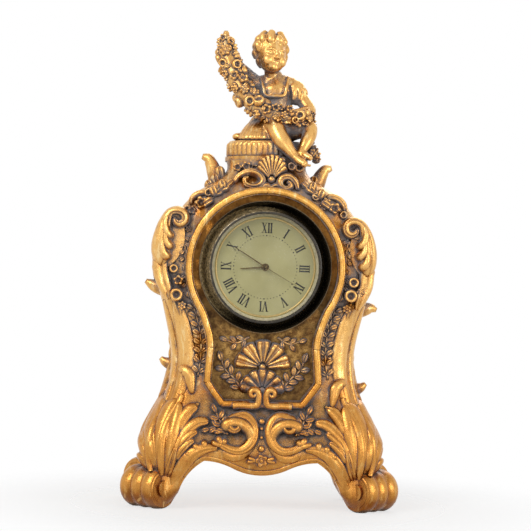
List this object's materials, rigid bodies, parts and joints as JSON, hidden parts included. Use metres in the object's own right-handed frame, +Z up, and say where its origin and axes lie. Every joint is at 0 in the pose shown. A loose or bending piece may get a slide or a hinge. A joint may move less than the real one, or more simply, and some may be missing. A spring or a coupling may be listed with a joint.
{
  "type": "mantel clock",
  "caption": "Gilded rococo mantel clock on scroll feet, with a seated child and garland on a drum and a round quartz insert with a dark bezel.",
  "frame": {"origin": "middle of the four feet on the surface that the clock stands on", "axes": "+X right seen from the front, +Y to the back, +Z up"},
  "size_m": [0.1788, 0.0998, 0.311],
  "materials": {
    "gilded_case": "antique gold leaf over cast resin",
    "gilded_figure": "antique gold leaf over cast resin",
    "steel": "plain",
    "dark_bezel": "polished black",
    "lens": "clear dome",
    "pale_ring": "pale satin",
    "dial": "printed ivory",
    "black_cup": "moulded",
    "rubber_band": "plain",
    "hands": "dark bronzed",
    "white_wheels": "moulded",
    "brass_pinion": "plain",
    "rotor_magnet": "plain",
    "black_knob": "moulded",
    "plate": "moulded",
    "soft_iron": "plain",
    "copper_coil": "enamelled wire",
    "board": "fibreglass",
    "chip": "epoxy",
    "contacts": "spring strip"
  },
  "bodies": {
    "case": {"case_body": "gilded_case", "figure": "gilded_figure", "figure_dowel": "steel"},
    "insert": {"bezel": "dark_bezel", "lens": "lens", "lens_ring": "pale_ring", "dial": "dial", "insert_cup": "black_cup", "grip_band": "rubber_band", "main_plate": "plate", "module_cover": "plate", "module_screws": "steel", "stator": "soft_iron", "coil_core": "soft_iron", "coil": "copper_coil", "circuit_board": "board", "driver_chip": "chip", "quartz_crystal": "steel", "battery": "steel", "battery_contact_minus": "contacts", "battery_contact_plus": "contacts"},
    "hours": {"hour_hand": "hands", "hour_wheel": "white_wheels"},
    "minutes": {"minute_hand": "hands", "cannon_pinion": "brass_pinion"},
    "seconds": {"second_hand": "hands", "seconds_wheel": "white_wheels"},
    "motion_work": {"minute_wheel": "white_wheels"},
    "setting": {"set_stem": "brass_pinion", "set_knob": "black_knob"},
    "centre": {"centre_wheel": "white_wheels"},
    "third": {"third_wheel": "white_wheels"},
    "intermediate": {"intermediate_wheel": "white_wheels"},
    "motor": {"rotor": "rotor_magnet"},
    "hatch": {"battery_cover": "black_knob"}
  },
  "joints": [
    {"name": "insert_pull", "type": "slide", "parent": "case", "child": "insert", "axis": [0, -1, 0], "range_m": [0, 0.06]},
    {"name": "minute_turn", "type": "hinge", "parent": "insert", "child": "minutes", "pos_m": [0, -0.03, 0.155], "axis": [0, 1, 0], "continuous": true},
    {"name": "hour_turn", "type": "hinge", "parent": "insert", "child": "hours", "pos_m": [0, -0.03, 0.155], "axis": [0, 1, 0], "continuous": true},
    {"name": "motion_work_turn", "type": "hinge", "parent": "insert", "child": "motion_work", "pos_m": [0.003, -0.027, 0.1602], "axis": [0, 1, 0], "continuous": true},
    {"name": "set_turn", "type": "hinge", "parent": "insert", "child": "setting", "pos_m": [0.006, -0.027, 0.16539], "axis": [0, 1, 0], "continuous": true},
    {"name": "second_turn", "type": "hinge", "parent": "insert", "child": "seconds", "pos_m": [0, -0.03, 0.155], "axis": [0, 1, 0], "continuous": true},
    {"name": "third_turn", "type": "hinge", "parent": "insert", "child": "third", "pos_m": [-0.00736, -0.027, 0.15075], "axis": [0, 1, 0], "continuous": true},
    {"name": "centre_turn", "type": "hinge", "parent": "insert", "child": "centre", "pos_m": [0, -0.03, 0.155], "axis": [0, 1, 0], "continuous": true},
    {"name": "intermediate_turn", "type": "hinge", "parent": "insert", "child": "intermediate", "pos_m": [0.00758, -0.027, 0.15063], "axis": [0, 1, 0], "continuous": true},
    {"name": "rotor_turn", "type": "hinge", "parent": "insert", "child": "motor", "pos_m": [0.01148, -0.027, 0.14838], "axis": [0, 1, 0], "continuous": true},
    {"name": "hatch_lift", "type": "slide", "parent": "insert", "child": "hatch", "axis": [0, 1, 0], "range_m": [0, 0.012]}
  ],
  "couplings": [
    {"joint": "hour_turn", "follows": "minute_turn", "ratio": 0.083333},
    {"joint": "motion_work_turn", "follows": "minute_turn", "ratio": -0.33333},
    {"joint": "set_turn", "follows": "minute_turn", "ratio": 1},
    {"joint": "third_turn", "follows": "second_turn", "ratio": -0.13333},
    {"joint": "centre_turn", "follows": "second_turn", "ratio": 0.016667},
    {"joint": "intermediate_turn", "follows": "second_turn", "ratio": -6},
    {"joint": "rotor_turn", "follows": "second_turn", "ratio": 30}
  ]
}
